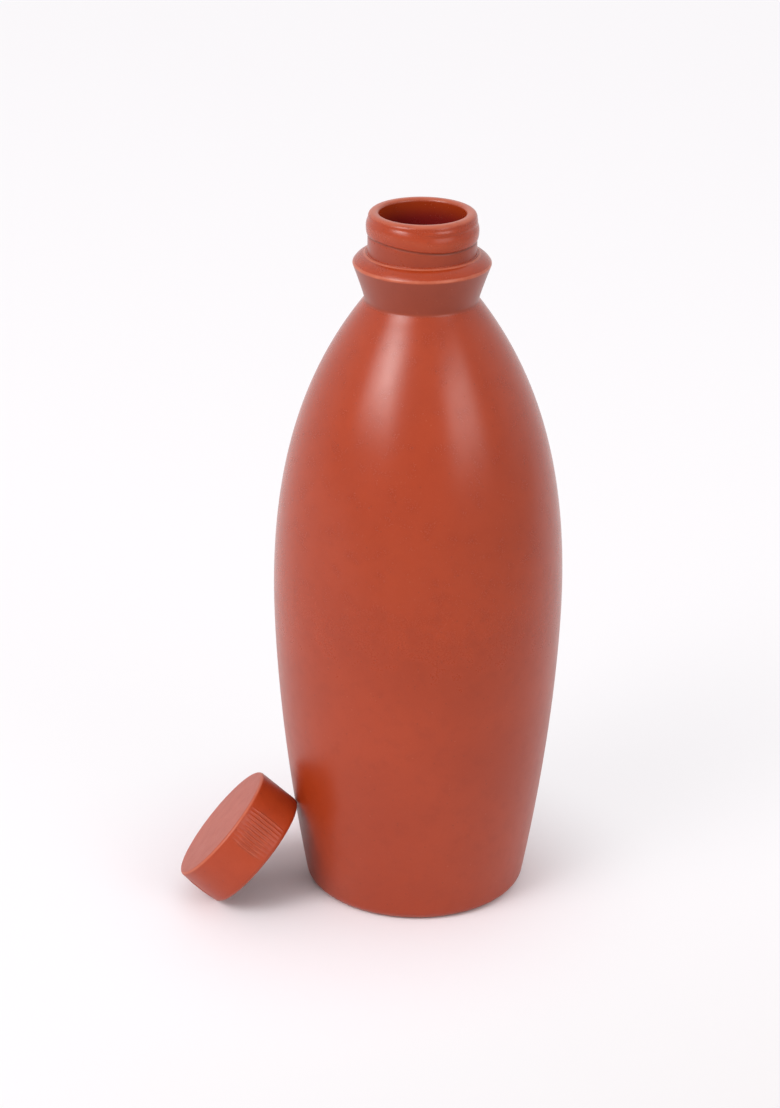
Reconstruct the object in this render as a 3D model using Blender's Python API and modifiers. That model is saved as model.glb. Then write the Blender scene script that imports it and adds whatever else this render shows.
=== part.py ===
"""Clay water bottle with its screw cap taken off and leaning against the flank.

Three pieces: a hollow slip-cast bottle with a soft screw thread on its neck, a clay screw cap with
finger ribs and an inner thread ridge, and the silicone sealing ring that sits under the cap's roof.
Metres, +Z up, origin at the centre of the bottle's foot. The viewer stands on the -Y side.
"""
import math

import bmesh
import bpy
from mathutils import Matrix, Vector

# Body of the bottle
BOTTLE_HEIGHT = 0.250
BELLY_RADIUS = 0.0507
BELLY_HEIGHT = 0.1126
FOOT_RADIUS = 0.0388
FOOT_ROUND = 0.004
FLANK_POWER = 1.72        # how soon the flank straightens on its way down to the foot
SHOULDER_SHARE = 0.275    # share of the steeper term in the shoulder's curve
SHOULDER_POWERS = (2.1, 4)  # the gentle term and the steeper one
WALL = 0.006
FLOOR = 0.007
FLOOR_ROUND = 0.008

# Neck, with heights measured down from the mouth
WAIST_RADIUS = 0.0194
WAIST_DROP = 0.0304
WAIST_ROUND = 0.0010
COLLAR_RADIUS = 0.02375
COLLAR_DROP = 0.0178
COLLAR_DOME = 0.0035      # height of the domed top of the collar
COLLAR_LIP = 0.0006       # how far the cone's upper end stays below the collar's crest
FLARE_POWER = 1.15         # hollowness of the cone between waist and collar
NECK_RADIUS = 0.0185
NECK_ROUND = 0.0018
LIP_RADIUS = 0.0186
LIP_ROUND = 0.0018
GROOVE_DROP = 0.0031      # from the mouth down to the soft groove under the lip
GROOVE_DEPTH = 0.0001
GROOVE_REACH = 0.0012     # drop over which the wall comes out of the groove again
MOUTH_RADIUS = 0.0147
MOUTH_ROUND = 0.0011

# Thread ridge on the neck, one right-handed start
THREAD_PITCH = 0.0028
THREAD_WIDTH = 0.0058
THREAD_DEPTH = 0.0006
THREAD_DROP = 0.00813     # from the mouth down to the ridge's middle where it starts
THREAD_START = math.radians(-130)
THREAD_TURNS = 1.21
THREAD_FADE_IN = math.radians(85)
THREAD_FADE_OUT = math.radians(75)
RIDGE_SHARPNESS = 1.2     # above 1 the ridge's sides run out more softly

# Cap, with heights measured up from its open rim
CAP_HEIGHT = 0.0172
CAP_WALL = 0.0035
CAP_ROOF = 0.0024
CAP_EDGE = 0.0020
CAP_RIM_ROUND = 0.0016
CAP_BORE_ROUND = 0.0006
CAP_BORE_CLEARANCE = 0.00035
CAP_RIDGE_CLEARANCE = 0.00025
CAP_RIDGE_WIDTH = 0.0018
CAP_RIDGE_START = 0.0019
CAP_RIDGE_TURNS = 0.62
CAP_RIDGE_FADE = math.radians(35)

# Finger ribs on the cap
RIB_PATCHES = 3
RIBS_PER_PATCH = 10
RIB_PITCH = 0.00153
RIB_WIDTH = 0.0008
RIB_HEIGHT = 0.00028
RIB_LENGTH = 0.0086
RIB_DROP = 0.0042         # from the cap's top face down to the ribs
RIB_SIDES = 6

# Sealing ring
RING_THICKNESS = 0.0012
RING_WIDTH = 0.0054
RING_ROUND = 0.0003

# How the cap lies: its rim on the table, its other side against the flank
CAP_TILT = math.radians(50.0)
CAP_FACING = math.radians(175.2)
CAP_BEARING = math.radians(199.0)
CAP_TURN = math.radians(129.0)
GAP = 0.0003              # clearance between pieces that touch

# How finely the shapes are divided
ROUND_STEPS = 56
ARC_STEPS = 4
SMALL_ARC_STEPS = 2
INSIDE_ROWS = 12
NECK_ROWS = 15
DOME_ROWS = 7
FLARE_ROWS = 5
SHOULDER_ROWS = 11
FLANK_ROWS = 8
BORE_ROWS = 12
HALVINGS = 40             # steps of each search by halves
MERGE = 0.00001
SHARP_ANGLE = math.radians(40)

# Heights and radii that follow from the sizes above
WAIST_HEIGHT = BOTTLE_HEIGHT - WAIST_DROP
COLLAR_HEIGHT = BOTTLE_HEIGHT - COLLAR_DROP
LAND_HEIGHT = COLLAR_HEIGHT + COLLAR_DOME
THREAD_CREST = NECK_RADIUS + THREAD_DEPTH
CAP_BORE = THREAD_CREST + CAP_BORE_CLEARANCE
CAP_RADIUS = CAP_BORE + CAP_WALL
CAP_RIDGE_DEPTH = CAP_BORE - NECK_RADIUS - CAP_RIDGE_CLEARANCE
CAP_CEILING = CAP_HEIGHT - CAP_ROOF
RING_RADIUS = CAP_BORE - GAP


def body_radius(height):
    """Outer radius of the bottle below the waist."""
    if height <= BELLY_HEIGHT:
        share = (BELLY_HEIGHT - height) / BELLY_HEIGHT
        return BELLY_RADIUS - (BELLY_RADIUS - FOOT_RADIUS) * share ** FLANK_POWER
    share = (height - BELLY_HEIGHT) / (WAIST_HEIGHT - BELLY_HEIGHT)
    gentle, steep = SHOULDER_POWERS
    fall = (1 - SHOULDER_SHARE) * share ** gentle + SHOULDER_SHARE * share ** steep
    return BELLY_RADIUS - (BELLY_RADIUS - WAIST_RADIUS) * fall


def height_where_shoulder_is(radius):
    """Height on the shoulder at which the outer radius has shrunk to this value."""
    low, high = BELLY_HEIGHT, WAIST_HEIGHT
    for _ in range(HALVINGS):
        middle = (low + high) / 2
        if body_radius(middle) > radius:
            low = middle
        else:
            high = middle
    return low


def smoothstep(share):
    """Soft step from 0 to 1."""
    share = min(max(share, 0.0), 1.0)
    return share * share * (3 - 2 * share)


def neck_wall(height):
    """Outer radius of the neck under its lip, with the soft groove that sets the lip off."""
    drop = BOTTLE_HEIGHT - height
    groove = NECK_RADIUS - GROOVE_DEPTH
    into = smoothstep((drop - LIP_ROUND) / (GROOVE_DROP - LIP_ROUND))
    out = smoothstep((drop - GROOVE_DROP) / GROOVE_REACH)
    return LIP_RADIUS + (groove - LIP_RADIUS) * into + GROOVE_DEPTH * out


def spaced(start, end, count):
    """Evenly spaced values from start to end, both included."""
    return [start + (end - start) * i / (count - 1) for i in range(count)]


def rounded_corner(before, corner, after, radius, steps=ARC_STEPS):
    """Arc that rounds a profile's corner, never longer than half of either leg."""
    before, corner, after = Vector(before), Vector(corner), Vector(after)
    leg_in, leg_out = before - corner, after - corner
    half = leg_in.angle(leg_out) / 2
    reach = min(radius / math.tan(half), leg_in.length / 2, leg_out.length / 2)
    radius = reach * math.tan(half)
    start = corner + leg_in.normalized() * reach
    end = corner + leg_out.normalized() * reach
    toward_centre = (leg_in.normalized() + leg_out.normalized()).normalized()
    centre = corner + toward_centre * (radius / math.sin(half))
    sweep = math.pi - 2 * half
    arm_start, arm_end = start - centre, end - centre
    arc = []
    for i in range(steps + 1):
        share = i / steps
        arm = (arm_start * math.sin((1 - share) * sweep) + arm_end * math.sin(share * sweep)) / math.sin(sweep)
        arc.append(tuple(centre + arm))
    return arc


def bottle_profile():
    """Half section of the bottle: up the inside, over the lip and down the outside to the foot."""
    throat_end = height_where_shoulder_is(MOUTH_RADIUS + WALL)
    inside = [(body_radius(z) - WALL, z) for z in spaced(FLOOR, throat_end, INSIDE_ROWS)]
    points = [(0.0, FLOOR)]
    points += rounded_corner(points[0], inside[0], inside[1], FLOOR_ROUND)
    points += inside[1:]

    mouth_edge = (MOUTH_RADIUS, BOTTLE_HEIGHT)
    lip_edge = (LIP_RADIUS, BOTTLE_HEIGHT)
    points += rounded_corner(inside[-1], mouth_edge, lip_edge, MOUTH_ROUND)
    points += rounded_corner(mouth_edge, lip_edge, (LIP_RADIUS, LAND_HEIGHT), LIP_ROUND)
    neck_rows = spaced(BOTTLE_HEIGHT - LIP_ROUND, LAND_HEIGHT + 2 * NECK_ROUND, NECK_ROWS)
    points += [(neck_wall(z), z) for z in neck_rows[1:]]

    dome = []
    for turn in spaced(math.pi / 2, 0.0, DOME_ROWS):
        radius = NECK_RADIUS + (COLLAR_RADIUS - NECK_RADIUS) * math.cos(turn)
        dome.append((radius, COLLAR_HEIGHT + COLLAR_DOME * math.sin(turn)))
    points += rounded_corner(points[-1], dome[0], dome[2], NECK_ROUND, SMALL_ARC_STEPS)
    points += dome[2:]

    flare_height = COLLAR_HEIGHT - COLLAR_LIP - WAIST_HEIGHT
    flare_width = COLLAR_RADIUS - COLLAR_LIP / 2 - WAIST_RADIUS
    flare = []
    for share in spaced(1.0, 0.0, FLARE_ROWS):
        flare.append((WAIST_RADIUS + flare_width * share ** FLARE_POWER, WAIST_HEIGHT + flare_height * share))
    points += flare[:-1]

    shoulder = [(body_radius(z), z) for z in spaced(WAIST_HEIGHT, BELLY_HEIGHT, SHOULDER_ROWS)]
    points += rounded_corner(flare[-2], flare[-1], shoulder[1], WAIST_ROUND, SMALL_ARC_STEPS)
    points += shoulder[1:]
    flank = [(body_radius(z), z) for z in spaced(BELLY_HEIGHT, 0.0, FLANK_ROWS)]
    points += flank[1:-1]
    points += rounded_corner(flank[-2], flank[-1], (0.0, 0.0), FOOT_ROUND)
    points.append((0.0, 0.0))
    return points


def cap_profile():
    """Half section of the cap: across the roof, down the outside and up the threaded inside."""
    top_edge, outer_rim = (CAP_RADIUS, CAP_HEIGHT), (CAP_RADIUS, 0.0)
    inner_rim, inner_corner = (CAP_BORE, 0.0), (CAP_BORE, CAP_CEILING)
    points = [(0.0, CAP_HEIGHT)]
    points += rounded_corner(points[0], top_edge, outer_rim, CAP_EDGE)
    points += rounded_corner(top_edge, outer_rim, inner_rim, CAP_RIM_ROUND)
    points += rounded_corner(outer_rim, inner_rim, inner_corner, CAP_BORE_ROUND, SMALL_ARC_STEPS)
    ridge_low = CAP_RIDGE_START - CAP_RIDGE_WIDTH / 2
    ridge_high = CAP_RIDGE_START + THREAD_PITCH * CAP_RIDGE_TURNS + CAP_RIDGE_WIDTH / 2
    points += [(CAP_BORE, z) for z in spaced(ridge_low, ridge_high, BORE_ROWS)]
    points += [inner_corner, (0.0, CAP_CEILING)]
    return points


def ring_profile():
    """Closed section of the sealing ring, which lies against the cap's roof."""
    top = CAP_CEILING - GAP
    corners = [
        (RING_RADIUS - RING_WIDTH, top),
        (RING_RADIUS, top),
        (RING_RADIUS, top - RING_THICKNESS),
        (RING_RADIUS - RING_WIDTH, top - RING_THICKNESS),
    ]
    points = []
    for i, corner in enumerate(corners):
        points += rounded_corner(corners[i - 1], corner, corners[(i + 1) % 4], RING_ROUND, 1)
    return points


def clear_scene():
    """Remove everything that the scene holds."""
    for item in list(bpy.data.objects):
        bpy.data.objects.remove(item, do_unlink=True)


def collection(name):
    """New collection under the scene's own."""
    group = bpy.data.collections.new(name)
    bpy.context.scene.collection.children.link(group)
    return group


def surface(name, colour, roughness):
    """Plain Principled material."""
    material = bpy.data.materials.new(name)
    material.use_nodes = True
    shader = material.node_tree.nodes["Principled BSDF"]
    shader.inputs["Base Color"].default_value = (*colour, 1.0)
    shader.inputs["Roughness"].default_value = roughness
    shader.inputs["Metallic"].default_value = 0.0
    return material


def place(mesh, name, group, material):
    """Object that holds a mesh, in its collection and with its material."""
    item = bpy.data.objects.new(name, mesh)
    if material:
        mesh.materials.append(material)
    group.objects.link(item)
    return item


def turned(name, points, closed=False):
    """Mesh of a profile turned round the Z axis with a Screw modifier."""
    outline = bpy.data.meshes.new(name + "_outline")
    edges = [(i, i + 1) for i in range(len(points) - 1)]
    if closed:
        edges.append((len(points) - 1, 0))
    outline.from_pydata([(radius, 0.0, height) for radius, height in points], edges, [])
    blank = bpy.data.objects.new(name + "_outline", outline)
    bpy.context.scene.collection.objects.link(blank)
    screw = blank.modifiers.new("Turn", "SCREW")
    screw.axis = "Z"
    screw.angle = math.tau
    screw.steps = ROUND_STEPS
    screw.render_steps = ROUND_STEPS
    screw.use_merge_vertices = True
    screw.merge_threshold = MERGE
    bpy.context.view_layer.update()
    mesh = bpy.data.meshes.new_from_object(blank.evaluated_get(bpy.context.evaluated_depsgraph_get()))
    mesh.name = name
    bpy.data.objects.remove(blank)
    bpy.data.meshes.remove(outline)
    return mesh


def ridge_height(angle, height, start, turns, fade_in, fade_out, first_height, width):
    """How far a helical ridge stands out at a point of the wall, as a share of its full depth."""
    share = 0.0
    end = turns * math.tau
    along = (angle - start) % math.tau
    while along <= end:
        fade = smoothstep(along / fade_in) * smoothstep((end - along) / fade_out)
        offset = (height - first_height - THREAD_PITCH * along / math.tau) / (width / 2)
        if abs(offset) < 1:
            share += fade * math.cos(offset * math.pi / 2) ** RIDGE_SHARPNESS
        along += math.tau
    return min(share, 1.0)


def raise_neck_thread(mesh):
    """Swell the neck's outer wall along the thread."""
    for vertex in mesh.vertices:
        x, y, z = vertex.co
        radius = math.hypot(x, y)
        if z < LAND_HEIGHT or radius < (MOUTH_RADIUS + LIP_RADIUS) / 2:
            continue
        share = ridge_height(
            math.atan2(y, x), z, THREAD_START, THREAD_TURNS, THREAD_FADE_IN, THREAD_FADE_OUT,
            BOTTLE_HEIGHT - THREAD_DROP, THREAD_WIDTH)
        grown = 1 + share * THREAD_DEPTH / radius
        vertex.co = (x * grown, y * grown, z)


def raise_cap_ridge(mesh):
    """Swell the cap's bore inwards along the ridge that catches the neck's thread."""
    for vertex in mesh.vertices:
        x, y, z = vertex.co
        radius = math.hypot(x, y)
        if abs(radius - CAP_BORE) > MERGE or z > CAP_CEILING - MERGE:
            continue
        share = ridge_height(
            math.atan2(y, x), z, 0.0, CAP_RIDGE_TURNS, CAP_RIDGE_FADE, CAP_RIDGE_FADE,
            CAP_RIDGE_START, CAP_RIDGE_WIDTH)
        shrunk = 1 - share * CAP_RIDGE_DEPTH / radius
        vertex.co = (x * shrunk, y * shrunk, z)


def rib_bars():
    """Half-sunk bars for the finger ribs, all in one mesh."""
    bars = bmesh.new()
    middle = CAP_HEIGHT - RIB_DROP - RIB_LENGTH / 2
    bar_radius = RIB_WIDTH / 2
    track = CAP_RADIUS + RIB_HEIGHT - bar_radius
    for patch in range(RIB_PATCHES):
        for rib in range(RIBS_PER_PATCH):
            offset = (rib - (RIBS_PER_PATCH - 1) / 2) * RIB_PITCH / CAP_RADIUS
            angle = math.tau * patch / RIB_PATCHES + offset
            spot = Matrix.Translation((track * math.cos(angle), track * math.sin(angle), middle))
            facing = Matrix.Rotation(angle, 4, "Z")
            bmesh.ops.create_cone(
                bars, cap_ends=True, segments=RIB_SIDES, radius1=bar_radius, radius2=bar_radius,
                depth=RIB_LENGTH, matrix=spot @ facing)
    mesh = bpy.data.meshes.new("rib_bars")
    bars.to_mesh(mesh)
    bars.free()
    return mesh


def cap_turn_matrix():
    """Rotation that takes the upright cap to the way it lies."""
    lean = Matrix.Rotation(CAP_FACING, 4, "Z") @ Matrix.Rotation(CAP_TILT, 4, "Y")
    return lean @ Matrix.Rotation(CAP_TURN, 4, "Z")


def cap_pose():
    """Place of the cap's axis empty: on the table, one clearance away from the flank."""
    turn = cap_turn_matrix()
    skin = []
    for radius, height in cap_profile():
        if radius < CAP_BORE:
            continue
        for i in range(ROUND_STEPS):
            angle = math.tau * i / ROUND_STEPS
            skin.append(turn @ Vector((radius * math.cos(angle), radius * math.sin(angle), height)))
    lift = -min(point.z for point in skin)
    bearing = Vector((math.cos(CAP_BEARING), math.sin(CAP_BEARING), 0.0))
    near, far = 0.0, 2 * (BELLY_RADIUS + CAP_RADIUS + CAP_HEIGHT)
    for _ in range(HALVINGS):
        middle = (near + far) / 2
        spaces = []
        for point in skin:
            spot = point + bearing * middle
            spaces.append(math.hypot(spot.x, spot.y) - body_radius(spot.z + lift))
        if min(spaces) < GAP:
            near = middle
        else:
            far = middle
    return Matrix.Translation(bearing * far + Vector((0.0, 0.0, lift))) @ turn


def finish(item, sharp=SHARP_ANGLE):
    """Shade a round piece smooth, with its true edges kept sharp."""
    item.data.shade_smooth()
    item.data.set_sharp_from_angle(angle=sharp)


def build_bottle(group, clay):
    """Hollow bottle with its collar, lip and thread."""
    mesh = turned("bottle_body", bottle_profile())
    raise_neck_thread(mesh)
    finish(place(mesh, "bottle_body", group, clay))


def build_cap(group, cutters, clay, silicone):
    """Cap and sealing ring, both carried by an empty on the cap's own axis."""
    axis = bpy.data.objects.new("cap_axis", None)
    axis.matrix_world = cap_pose()
    group.objects.link(axis)

    mesh = turned("screw_cap", cap_profile())
    raise_cap_ridge(mesh)
    cap = place(mesh, "screw_cap", group, clay)
    cap.parent = axis
    ribs = place(rib_bars(), "rib_bars", cutters, None)
    ribs.parent = axis
    ribs.hide_render = True
    ribs.display_type = "WIRE"
    union = cap.modifiers.new("Finger ribs", "BOOLEAN")
    union.operation = "UNION"
    union.object = ribs
    finish(cap)

    ring = place(turned("cap_gasket", ring_profile(), closed=True), "cap_gasket", group, silicone)
    ring.parent = axis
    finish(ring)


def main():
    """Build the bottle, its cap and the cap's sealing ring."""
    clear_scene()
    group = collection("clay_water_bottle")
    cutters = collection("cutters")
    clay = surface("red_clay", (0.48, 0.085, 0.037), 0.55)
    silicone = surface("silicone", (0.62, 0.60, 0.56), 0.5)
    build_bottle(group, clay)
    build_cap(group, cutters, clay, silicone)


main()
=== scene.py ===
"""Studio scene of a clay water bottle with its screw cap off and leaning against the flank.

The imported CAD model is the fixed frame. Three finely divided pieces stand for its three nodes: the
bottle, the cap and the cap's sealing ring. Each is drawn as a half section, its corners are rounded
and it is spun round its axis, as on a potter's wheel. Metres, +Z up, the viewer on the -Y side.
"""

import logging
import math
from collections.abc import Callable, Sequence
from dataclasses import dataclass
from enum import Enum
from functools import partial
from typing import Any, NamedTuple

import bmesh
import bpy
from mathutils import Matrix, Vector


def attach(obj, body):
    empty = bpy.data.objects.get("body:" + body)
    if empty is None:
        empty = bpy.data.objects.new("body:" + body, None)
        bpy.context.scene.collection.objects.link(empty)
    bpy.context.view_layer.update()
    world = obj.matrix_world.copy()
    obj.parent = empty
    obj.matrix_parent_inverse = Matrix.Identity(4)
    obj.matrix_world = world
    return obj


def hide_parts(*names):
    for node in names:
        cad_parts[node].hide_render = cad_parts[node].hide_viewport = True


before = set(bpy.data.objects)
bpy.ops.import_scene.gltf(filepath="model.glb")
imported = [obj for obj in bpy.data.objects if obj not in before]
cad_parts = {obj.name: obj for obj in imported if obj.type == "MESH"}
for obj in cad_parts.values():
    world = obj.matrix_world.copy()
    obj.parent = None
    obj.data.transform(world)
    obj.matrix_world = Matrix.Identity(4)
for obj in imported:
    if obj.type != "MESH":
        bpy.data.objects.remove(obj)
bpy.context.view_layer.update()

log = logging.getLogger("clay_bottle")

Colour = tuple[float, float, float]
Place = tuple[float, float, float]
Point = tuple[float, float]
Span = tuple[float, float]

MERGE_DISTANCE = 1e-6
ON_WALL = 0.0001
SEED_SIZE = 0.001
SHARP_ANGLE = math.radians(50)
NOISE_MIDDLE = 0.5
MILLIMETRES = 1000
SOFT_STEP = {"interpolation_type": "SMOOTHSTEP", "clamp": True}


def smoothstep(share: float) -> float:
    """Soft step from 0 to 1."""
    share = min(max(share, 0.0), 1.0)
    return share * share * (3 - 2 * share)


def spaced(start: float, end: float, count: int) -> list[float]:
    """Evenly spaced values from start to end, both included."""
    return [start + (end - start) * i / (count - 1) for i in range(count)]


def in_radians(*angles: float) -> tuple[float, ...]:
    """Angles that are given in degrees, in radians."""
    return tuple(math.radians(angle) for angle in angles)


class Wire:
    """One output socket of a shader graph, with arithmetic that adds Math nodes.

    Args:
        graph: The graph that the socket belongs to.
        socket: The output socket itself, or None at a node that has none.
    """

    def __init__(self, graph: "Graph", socket: bpy.types.NodeSocket | None) -> None:
        """Keep the graph and the socket."""
        self.graph = graph
        self.socket = socket

    def _with(self, operation: str, first: Any, second: Any) -> "Wire":
        """Math node on two values."""
        return self.graph.node("ShaderNodeMath", {"operation": operation}, {0: first, 1: second})

    def __add__(self, other: Any) -> "Wire":
        """Sum."""
        return self._with("ADD", self, other)

    __radd__ = __add__

    def __sub__(self, other: Any) -> "Wire":
        """Difference."""
        return self._with("SUBTRACT", self, other)

    def __rsub__(self, other: Any) -> "Wire":
        """Difference with this value taken away."""
        return self._with("SUBTRACT", other, self)

    def __mul__(self, other: Any) -> "Wire":
        """Product."""
        return self._with("MULTIPLY", self, other)

    __rmul__ = __mul__

    def greater(self, other: Any) -> "Wire":
        """Greater of two values."""
        return self._with("MAXIMUM", self, other)

    def lifted(self, span: Span, base: float = 0.0) -> "Wire":
        """Soft step of this value, from 0 to 1 over a span that is counted from a base."""
        inputs = {0: self, 1: base + span[0], 2: base + span[1], 3: 0.0, 4: 1.0}
        return self.graph.node("ShaderNodeMapRange", SOFT_STEP, inputs)

    def sunk(self, span: Span, base: float = 0.0) -> "Wire":
        """Soft step the other way, from 1 to 0."""
        return 1.0 - self.lifted(span, base)


class Graph:
    """Node tree of one material or world, filled in through one node-making method.

    Args:
        tree: The tree to fill. What it holds is cleared first.
    """

    def __init__(self, tree: bpy.types.NodeTree) -> None:
        """Keep the tree and clear it."""
        self.tree = tree
        tree.nodes.clear()

    def node(self, kind: str, settings: dict[str, Any] | None = None,
             inputs: dict[int | str, Any] | None = None, output: int = 0) -> Wire:
        """Add a node.

        Args:
            kind: The node's type.
            settings: Its properties, set before its sockets.
            inputs: Values or wires by socket name or number.
            output: Which output the returned wire stands for.

        Returns:
            The wire of the chosen output.
        """
        made = self.tree.nodes.new(kind)
        for name, value in (settings or {}).items():
            setattr(made, name, value)
        for key, value in (inputs or {}).items():
            if isinstance(value, Wire):
                self.tree.links.new(value.socket, made.inputs[key])
            elif isinstance(value, tuple) and made.inputs[key].type == "RGBA":
                made.inputs[key].default_value = (*value, 1.0)
            else:
                made.inputs[key].default_value = value
        return Wire(self, made.outputs[output] if made.outputs else None)

    def place(self) -> Wire:
        """Object coordinates, in metres."""
        return self.node("ShaderNodeTexCoord", output=3)

    def noise(self, place: Wire, scale: float, detail: float = 3.0, roughness: float = 0.5) -> Wire:
        """Cloudy noise from 0 to 1, with so many clouds to the metre."""
        inputs = {"Vector": place, "Scale": scale, "Detail": detail, "Roughness": roughness}
        return self.node("ShaderNodeTexNoise", None, inputs)

    def cells(self, place: Wire, scale: float, output: int = 0) -> Wire:
        """Distance to the middle of the nearest cell (output 0) or its random colour (output 1)."""
        return self.node("ShaderNodeTexVoronoi", None, {"Vector": place, "Scale": scale}, output)

    def mark(self, name: str) -> Wire:
        """Mask that the mesh carries as an attribute."""
        return self.node("ShaderNodeAttribute", {"attribute_name": name}, output=2)

    def light_path(self, output: int) -> Wire:
        """Mask of the rays from the eye (output 0), of mirrored ones (3) or those sent on (6)."""
        return self.node("ShaderNodeLightPath", output=output)

    def channel(self, value: Wire, number: int) -> Wire:
        """One channel of a colour, or one part of a vector."""
        kind = "XYZ" if value.socket.type == "VECTOR" else "Color"
        return self.node(f"ShaderNodeSeparate{kind}", None, {0: value}, number)

    def mixed(self, factor: Any, first: Any, second: Any) -> Wire:
        """Blend of two colours."""
        inputs = {0: factor, 6: first, 7: second}
        return self.node("ShaderNodeMix", {"data_type": "RGBA", "clamp_factor": True}, inputs, 2)

    def vector(self, operation: str, first: Any, second: Any, output: int = 0) -> Wire:
        """Vector Math node; output 1 is the number that some operations give."""
        inputs = {0: first, 1: second}
        return self.node("ShaderNodeVectorMath", {"operation": operation}, inputs, output)

    def relief(self, height: Wire) -> Wire:
        """Normal of a relief whose height is in metres."""
        inputs = {"Strength": 1.0, "Distance": 1.0, "Height": height}
        return self.node("ShaderNodeBump", None, inputs)

    def end(self, shader: Wire, kind: str = "ShaderNodeOutputMaterial") -> None:
        """Lead the finished shader to the output."""
        self.node(kind, None, {"Surface": shader})


def new_material(name: str) -> tuple[bpy.types.Material, Graph]:
    """Start an empty material.

    Args:
        name: Its name.

    Returns:
        The material, and the graph through which it is filled.
    """
    made = bpy.data.materials.new(name)
    made.use_nodes = True
    return made, Graph(made.node_tree)


class WornAndPaintedLight(NamedTuple):
    """Masks of where a clay surface is paler, worn and with painted highlight, where shade is
    painted on it, and the roughness that handling adds.
    """

    worn_and_highlight: Wire
    painted_shade: Wire
    painted_inner_shade: Wire
    handled: Wire | float = 0.0


class Burnish(Enum):
    """How smooth the potter left a clay surface, as the shader's roughness."""

    WALL = 0.255
    CAP = 0.40


@dataclass(frozen=True)
class ClayFinish:
    """Unglazed red earthenware, burnished to a satin sheen.

    The colour drifts in soft clouds with the firing, with fine grit and a few pale and dark grains
    in it, and the bump has the grain, shallow pores and the slightest waves of hand finishing.
    Scales count to the metre and depths are in metres. A span is the part of a noise over which a
    tint comes in, a draw picks some of the dots, and a share is a tint's strength.
    """

    name: str
    burnish: Burnish
    body: Colour = (0.314, 0.0330, 0.0056)
    warm: Colour = (0.343, 0.0378, 0.0068)
    deep: Colour = (0.277, 0.0272, 0.0044)
    # Pale tint of dusty grain, also laid along rims and crests as worn clay with a painted highlight
    dust: Colour = (0.540, 0.150, 0.080)
    dark_grain: Colour = (0.180, 0.023, 0.007)
    pale_grain: Colour = (0.590, 0.215, 0.125)
    # Painted shade: darker clay on the cone, the neck band, the thread's crease and the cap's rib
    # grooves
    painted_shade: Colour = (0.172, 0.0345, 0.0172)
    # Painted shade inside the bottle's throat and the cap
    painted_inner_shade: Colour = (0.175, 0.0090, 0.0100)
    cloud_scale: float = 26.0
    mottle_scale: float = 190.0
    grain_scale: float = 2100.0
    speck_scale: float = 620.0
    pore_scale: float = 420.0
    wave_scale: float = 34.0
    warm_span: Span = (0.36, 0.68)
    deep_span: Span = (0.45, 0.75)
    dusty_span: Span = (0.55, 0.85)
    shaded_span: Span = (0.20, 0.45)
    patchy_span: Span = (0.30, 0.75)
    speck_size: Span = (0.10, 0.24)
    pore_size: Span = (0.04, 0.16)
    dark_draw: Span = (0.90, 0.93)
    pale_draw: Span = (0.03, 0.06)
    pore_draw: Span = (0.86, 0.90)
    deep_share: float = 0.45
    dusty_share: float = 0.12
    shaded_share: float = 0.18
    worn_and_highlight_share: float = 0.70
    worn_and_highlight_least: float = 0.55
    pale_share: float = 0.12
    dark_share: float = 0.55
    pore_share: float = 0.50
    rough_mottle: float = 0.10
    rough_grain: float = 0.08
    rough_rubbed: float = 0.10
    rough_painted_shade: float = 0.15
    grain_depth: float = 0.000010
    pore_depth: float = 0.000045
    wave_depth: float = 0.000060
    sheen_level: float = 0.43
    refraction: float = 1.5

    @staticmethod
    def dots(graph: Graph, place: Wire, scale: float, size: Span, number: int) -> tuple[Wire, Wire]:
        """Mask of round dots scattered over the clay, and a random number for each of them."""
        draw = graph.channel(graph.cells(place, scale, 1), number)
        return graph.cells(place, scale).sunk(size), draw

    def material(self, worn_and_painted_light: Callable[[Graph, Wire], WornAndPaintedLight]) -> bpy.types.Material:
        """Make the material.

        Args:
            worn_and_painted_light: Gives the piece's masks: rims and crests made paler, partly worn
                and partly painted highlight, the cone, creases and grooves darkened as painted
                shade, and the inside darkened as painted shade.

        Returns:
            The finished material.
        """
        made, graph = new_material(self.name)
        place = graph.place()
        cloud = graph.noise(place, self.cloud_scale, detail=4.0, roughness=0.55)
        mottle = graph.noise(place, self.mottle_scale, detail=3.0, roughness=0.6)
        grain = graph.noise(place, self.grain_scale, detail=2.0, roughness=0.6)
        wave = graph.noise(place, self.wave_scale, detail=1.0, roughness=0.4)
        speck, speck_draw = self.dots(graph, place, self.speck_scale, self.speck_size, 0)
        pore, pore_draw = self.dots(graph, place, self.pore_scale, self.pore_size, 1)
        pore = pore * pore_draw.lifted(self.pore_draw)
        masks = worn_and_painted_light(graph, place)
        patchy = self.worn_and_highlight_least + mottle.lifted(self.patchy_span) * (1.0 - self.worn_and_highlight_least)
        worn_and_highlight = masks.worn_and_highlight * patchy

        colour = graph.mixed(cloud.lifted(self.warm_span), self.body, self.warm)
        shaded = grain.lifted(self.shaded_span) * -self.shaded_share + self.shaded_share
        for amount, tint in (
                (mottle.lifted(self.deep_span) * self.deep_share, self.deep),
                (grain.lifted(self.dusty_span) * self.dusty_share, self.dust),
                (shaded, self.deep),
                # Painted shade on the cone, neck band, thread crease and rib grooves
                (masks.painted_shade, self.painted_shade),
                # Painted shade inside the throat and the cap
                (masks.painted_inner_shade, self.painted_inner_shade),
                # Pale tint along rims and crests, partly worn and partly painted highlight
                (worn_and_highlight * self.worn_and_highlight_share, self.dust),
                (speck * speck_draw.sunk(self.pale_draw) * self.pale_share, self.pale_grain),
                (speck * speck_draw.lifted(self.dark_draw) * self.dark_share, self.dark_grain),
                (pore * self.pore_share, self.dark_grain)):
            colour = graph.mixed(amount, colour, tint)

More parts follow.
